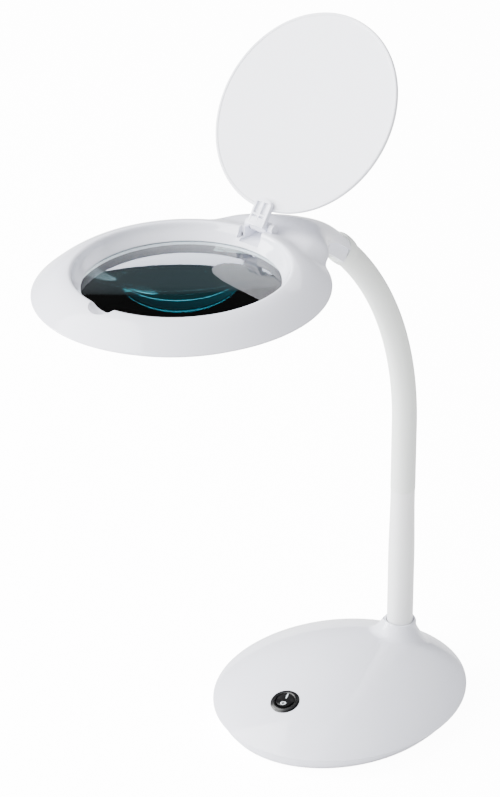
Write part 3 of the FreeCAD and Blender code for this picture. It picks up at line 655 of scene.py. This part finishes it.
def head_ring():
    """The ring with its recess, and the neck drawn out of its back."""
    piece = turned("head_shell", RING_SECTION, 72, HEAD)
    edit(piece)
    centre = Vector((0, HEAD_Y, HEAD_Z))

    def at_back(face):
        spot = face.calc_center_median() - centre
        reach = math.hypot(spot.x, spot.y) / MM
        bearing = math.degrees(math.atan2(spot.x, spot.y))
        on_top = face.normal.z > 0.05 and reach > 60.8
        on_edge = reach > 70.5 and spot.z < 0.4 * MM
        return abs(bearing) < 28.0 and (on_top or on_edge)

    select_faces(piece, at_back)
    bpy.context.tool_settings.mesh_select_mode = (True, False, False)
    net = bmesh.from_edit_mesh(piece.data)
    grid = {}
    rows = sorted({ring_row(v.co) for v in net.verts if v.select}, key=lambda row: row[1])
    bearings = [abs(math.atan2(v.co.x, v.co.y - HEAD_Y)) for v in net.verts if v.select]
    widest = max(bearings)
    for corner in net.verts:
        if corner.select:
            up = 2 * rows.index(ring_row(corner.co)) / (len(rows) - 1) - 1
            across = math.atan2(corner.co.x, corner.co.y - HEAD_Y) / widest
            grid[tuple(round(c, 7) for c in corner.co)] = (across, up)
    for y, z, high, wide, fall in NECK:
        angle = math.radians(fall)
        normal = Vector((0, math.sin(angle), math.cos(angle)))
        fresh = {}

        def to_section(corner):
            across, up = grid[tuple(round(c, 7) for c in corner)]
            side = across * math.sqrt(max(1 - up * up / 2, 0))
            rise = up * math.sqrt(max(1 - across * across / 2, 0))
            spot = Vector((side * wide * MM, y * MM, z * MM)) + normal * rise * high * MM
            spot = Vector(tuple(round(c, 7) for c in spot))
            fresh[tuple(round(c, 7) for c in spot)] = (across, up)
            return spot

        bpy.ops.mesh.extrude_region_move()
        move_selected(piece, to_section)
        grid = fresh
    leave()
    worked(piece, "SUBSURF", levels=2, render_levels=2)
    return piece


def prism(name, outline, low_x, high_x):
    """Straight-sided tool across the lamp, from an outline of (y, z) in millimetres."""
    piece = started(
        name, bpy.ops.mesh.primitive_circle_add, vertices=len(outline), radius=MM, fill_type="NGON")
    for corner, (y, z) in zip(piece.data.vertices, outline):
        corner.co = (low_x * MM, y * MM, z * MM)
    edit(piece)
    bpy.ops.mesh.select_all(action="SELECT")
    bpy.ops.mesh.extrude_region_move(TRANSFORM_OT_translate={"value": ((high_x - low_x) * MM, 0, 0)})
    bpy.ops.mesh.select_all(action="SELECT")
    bpy.ops.mesh.normals_make_consistent(inside=False)
    leave()
    return piece


def arc(radius, start, end, steps):
    """Points (y, z) in millimetres on a circle about the tilt screw, angles up from the back (+Y)."""
    out = []
    for i in range(steps + 1):
        t = math.radians(start + (end - start) * i / steps)
        out.append((TILT_PIN.y / MM + radius * math.cos(t), TILT_PIN.z / MM + radius * math.sin(t)))
    return out


# Side of the neck's hood: its lower edge arches from in front of the screw to the neck's end.
HOOD_EDGE = [
    (-35.0, 283.5), (-35.4, 286.5), (-35.0, 289.2), (-33.4, 290.7), (-31.0, 290.9), (-28.0, 290.0), (-24.0, 288.4),
    (-20.0, 286.4), (-16.0, 284.0), (-11.0, 280.4), (-3.0, 274.0), (-3.0, 262.0), (-30.0, 262.0), (-33.0, 276.0),
]


def make_head():
    shell = head_ring()
    pin = LID_PIN / MM
    low = HEAD_Z / MM
    pocket = block("tool", (-6.0, pin.y - 10.4, low + 4.8), (6.0, pin.y + 3.4, low + 18), 0.4)
    step = block("tool", (-8.0, pin.y - 12.0, low + 5.9), (-3.7, pin.y - 5.4, low + 18), 0.3)
    well = prism("hinge_well", [
        (pin.y - 6.0, low + 3.6), (pin.y + 4.7, low + 3.6), (pin.y + 4.7, low + 6.0), (pin.y + 0.5, low + 8.2),
        (pin.y - 4.3, low + 9.6), (pin.y - 6.0, low + 9.6)], -7.4, 7.4)
    well.matrix_world = ROUND_THE_RING
    dish = prism("finger_dish", [
        (HEAD_Y / MM - 53.8, low + 4.2), (HEAD_Y / MM - 53.8, low + 9.8), (HEAD_Y / MM - 58.5, low + 9.0),
        (HEAD_Y / MM - 62.5, low + 6.9), (HEAD_Y / MM - 62.5, low + 4.2)], -8.6, 8.6)
    for lump in (settle(well), dish):
        worked(shell, "BOOLEAN", operation="UNION", object=lump, solver="MANIFOLD")
        bpy.data.objects.remove(lump)
    for tool in (pocket, step):
        tool.matrix_world = ROUND_THE_RING
        cut_with(shell, settle(tool))
    scoop = started(
        "tool", bpy.ops.mesh.primitive_uv_sphere_add, segments=48, ring_count=24, radius=8.6 * MM,
        location=(0, HEAD_Y - 53.1 * MM, HEAD_Z + 15.2 * MM))
    settle(scoop)
    cut_with(shell, scoop)
    cut_with(shell, prism("tool", HOOD_EDGE, 6.3, 26.0))
    cut_with(shell, prism("tool", HOOD_EDGE, -26.0, -6.3))
    past_end = arc(23.0, -105, 60, 24) + arc(48.0, 60, -105, 8)
    cut_with(shell, prism("tool", past_end, -20.0, 20.0))
    slot = arc(6.3, 260, 70, 16) + [(-8.0, 286.0), (4.0, 279.0), (4.0, 255.0), (-27.6, 255.0)]
    cut_with(shell, prism("tool", slot, -5.2, 5.2))
    smooth(shell, 32)
    bosses = []
    for side in (-1, 1):
        reach = Vector((side * MM, 0, 0))
        bosses.append(rod("tilt_screw_boss", TILT_PIN + reach * 5.4, TILT_PIN + reach * 6.95, 4.4 * MM))
        worked(bosses[-1], "BEVEL", width=0.3 * MM, segments=2, limit_method="ANGLE")
        smooth(bosses[-1], 35)
        lug = rod("lid_pin_lug", LID_PIN + reach * 6.0, LID_PIN + reach * 8.6, 2.6 * MM)
        lug.matrix_world = ROUND_THE_RING
        settle(lug)
        smooth(lug, 35)
        bosses.append(lug)
    shell = joined("head_shell", [shell] + bosses)
    shell.matrix_world = ROLLED
    settle(shell)
    finish_piece(shell, ABS_WHITE, "head", ["head_upper_shell"])


def make_lens():
    curve = 260.0
    rim = 50.0
    sag = curve - math.sqrt(curve ** 2 - rim ** 2)
    top = 2.1 + sag
    low = 2.1 - 2.2 - sag
    steps = 24
    section = []
    for i in range(steps + 1):
        r = rim * i / steps
        section.append((r, low + curve - math.sqrt(curve ** 2 - r ** 2)))
    section += [(rim, 1.9)]
    for i in range(steps + 1):
        r = rim * (1 - i / steps)
        section.append((r, top - curve + math.sqrt(curve ** 2 - r ** 2)))
    glass = turned("lens_glass", section, 128, ROLLED @ HEAD)
    smooth(glass, 30)
    finish_piece(glass, GLASS, "head", ["lens"])


def lid_place():
    """From a piece drawn on the closed lid to its open, stored place."""
    pin = Matrix.Translation(LID_PIN)
    return ROLLED @ ROUND_THE_RING @ pin @ Matrix.Rotation(-LID_OPEN, 4, "X") @ pin.inverted()


def make_lid():
    closed_z = HEAD_Z + 8.8 * MM
    section = rounded([
        (0, -0.7), (49.9, -0.7), (50.2, -1.0), (51.2, -1.0), (51.6, -0.6), (51.6, 0.6), (51.2, 1.0), (0, 1.0),
    ], 0.3)
    place = lid_place() @ Matrix.Translation((0, HEAD_Y, closed_z))
    disc = turned("lid_disc", section, 160, place)
    smooth(disc, 40)
    # The lid's white carries painted light: brighter than the ring's ABS, standing in for light through the thin
    # stock.
    finish_piece(disc, LID_WHITE_PAINTED_LIGHT, "lid", ["lid"])
    top = (closed_z - 1.0 * MM) / MM
    pin = LID_PIN / MM
    slab = block("lid_arm_slab", (-5.0, pin.y - 12.4, top - 2.6), (5.0, pin.y + 1.5, top), 0.0)
    edit(slab)
    bpy.context.tool_settings.mesh_select_mode = (False, True, False)
    net = bmesh.from_edit_mesh(slab.data)
    for edge in net.edges:
        a, b = edge.verts
        edge.select_set(abs(a.co.z - b.co.z) > MM and a.co.y / MM < pin.y - 5.0)
    bmesh.update_edit_mesh(slab.data)
    bpy.ops.mesh.bevel(offset=3.2 * MM, segments=6)
    leave()
    for x in (-3.9, 0.4):
        for y, length in ((pin.y - 10.8, 6.0), (pin.y - 3.8, 3.6)):
            cut_with(slab, block("tool", (x, y, top - 3.2), (x + 3.5, y + length, top - 1.4), 0.3))
    worked(slab, "BEVEL", width=0.25 * MM, segments=2, limit_method="ANGLE", angle_limit=math.radians(40))
    half = Vector((5 * MM, 0, 0))
    knuckle = rod("lid_arm_knuckle", LID_PIN - half, LID_PIN + half, 2.9 * MM, 40)
    worked(knuckle, "BEVEL", width=0.25 * MM, segments=2, limit_method="ANGLE")
    web = block("lid_arm_web", (-4.95, pin.y - 2.9, top - 2.5), (4.95, pin.y + 1.45, top + 1.0), 0.25)
    arm = joined("lid_arm_ribbed", [slab, knuckle, web])
    arm.matrix_world = lid_place()
    settle(arm)
    smooth(arm, 35)
    finish_piece(arm, ABS_WHITE, "lid", ["lid_arm"])


# ---- CAD pieces that stay as they are -------------------------------------------------------------------
def dress_frame():
    finishes = {
        "anti_slip_pad": FOAM_GREY, "ballast": CAST_IRON, "tray_screws": ZINC_STEEL,
        "clamp_plate": ZINC_STEEL, "arm_nut": ZINC_STEEL, "inlet_pin": CONTACT_BRASS,
        "supply_lead": LEAD_WHITE, "switched_lead": LEAD_WHITE, "head_lead": LEAD_WHITE,
        "switch_terminals": CONTACT_BRASS, "driver_board": BOARD_WHITE, "board_spacers": NYLON,
        "driver_parts": PA_BLACK, "tilt_screw": ZINC_STEEL, "tilt_nut": ZINC_STEEL,
        "head_lower_shell": ABS_WHITE, "led_board": BOARD_WHITE, "leds": PHOSPHOR, "diffuser": FROSTED,
        "lid_pin": ZINC_STEEL,
    }
    for name, node in NODES.items():
        if name.startswith("arm_lead"):
            dress(node, LEAD_WHITE)
        elif name.startswith("flex_core"):
            dress(node, ZINC_STEEL)
        elif name in finishes:
            dress(node, finishes[name])


# ---- studio ------------------------------------------------------------------------------------------------
def make_studio():
    floor = started("studio_floor", bpy.ops.mesh.primitive_plane_add, size=12.0)
    paper, tree, shader = new_material("studio_paper_painted_lens_shade", Roughness=0.9)
    rays = add_node(tree, "ShaderNodeLightPath").outputs
    # Painted shade: for rays that come through the lens the floor turns near black (#1E1D22), so the lens looks dark;
    # camera rays still see it evenly bright.
    tint = add_node(
        tree, "ShaderNodeMix", {"data_type": "RGBA"}, {"A": linear("#F4F4F4"), "B": linear("#1E1D22")},
        {"Factor": rays["Is Transmission Ray"]})
    tree.links.new(tint.outputs["Result"], shader.inputs["Base Color"])
    lift = add_node(tree, "ShaderNodeMath", {"operation": "MULTIPLY"}, {1: 12.0}, {0: rays["Is Camera Ray"]})
    shader.inputs["Emission Color"].default_value = linear("#FFFFFF")
    tree.links.new(lift.outputs["Value"], shader.inputs["Emission Strength"])
    dress(floor, paper)
    world = bpy.context.scene.world or bpy.data.worlds.new("studio_air")
    bpy.context.scene.world = world
    world.use_nodes = True
    sky = world.node_tree
    air = sky.nodes["Background"]
    air.inputs["Color"].default_value = linear("#FFFFFF")
    rays = add_node(sky, "ShaderNodeLightPath").outputs
    mirrored = add_node(
        sky, "ShaderNodeMath", {"operation": "MAXIMUM"},
        links={0: rays["Is Transmission Ray"], 1: rays["Is Glossy Ray"]})
    dimmed = add_node(
        sky, "ShaderNodeMapRange", values={"To Min": 1.15, "To Max": 0.06},
        links={"Value": mirrored.outputs["Value"]})
    sky.links.new(dimmed.outputs["Result"], air.inputs["Strength"])
    lamps = (
        # name, place, aim, size, watts
        ("softbox_top", (-0.9, -0.7, 1.6), (0, -0.05, 0.2), 1.2, 44),
        ("softbox_left", (-1.6, -1.2, 0.8), (0, -0.05, 0.2), 1.0, 80),
        ("softbox_front", (-0.4, -2.0, 0.8), (0, -0.05, 0.2), 1.0, 55),
    )
    for name, place, aim, size, watts in lamps:
        light = bpy.data.lights.new(name, "AREA")
        light.size = size
        light.energy = watts
        lamp = bpy.data.objects.new(name, light)
        bpy.context.scene.collection.objects.link(lamp)
        lamp.location = place
        lamp.rotation_euler = (Vector(aim) - Vector(place)).to_track_quat("-Z", "Y").to_euler()
    panel = bpy.data.lights.new("softbox_far", "AREA")
    panel.shape = "RECTANGLE"
    panel.size = 2.4
    panel.size_y = 0.58
    panel.energy = 50
    panel.color = linear("#EAF0FF")[:3]
    lamp = bpy.data.objects.new("softbox_far", panel)
    bpy.context.scene.collection.objects.link(lamp)
    lamp.location = (-1.05, 1.0, 0.5)
    facing = (LENS_MIDDLE - lamp.location).to_track_quat("-Z", "Y").to_matrix()
    lamp.rotation_euler = (facing @ Matrix.Rotation(math.radians(-13.5), 3, "Z")).to_euler()
    lamp.visible_diffuse = False
    lamp.visible_transmission = False
    lens_only = bpy.data.collections.new("seen_in_the_lens")
    lens_only.objects.link(bpy.data.objects["lens_glass"])
    lamp.light_linking.receiver_collection = lens_only


def make_camera():
    view = bpy.data.cameras.new("camera")
    camera = bpy.data.objects.new("camera", view)
    bpy.context.scene.collection.objects.link(camera)
    camera.location = (1.08357, -1.25574, 1.10585)
    aim = Vector((-0.59043, 0.64525, -0.48481))
    camera.rotation_euler = aim.to_track_quat("-Z", "Y").to_euler()
    view.sensor_width = 36.0
    view.lens = 167.1
    view.clip_end = 30.0
    bpy.context.scene.camera = camera


make_base()
make_switch()
make_sleeve()
make_ferrule()
make_head()
make_lens()
make_lid()
dress_frame()
make_studio()
make_camera()
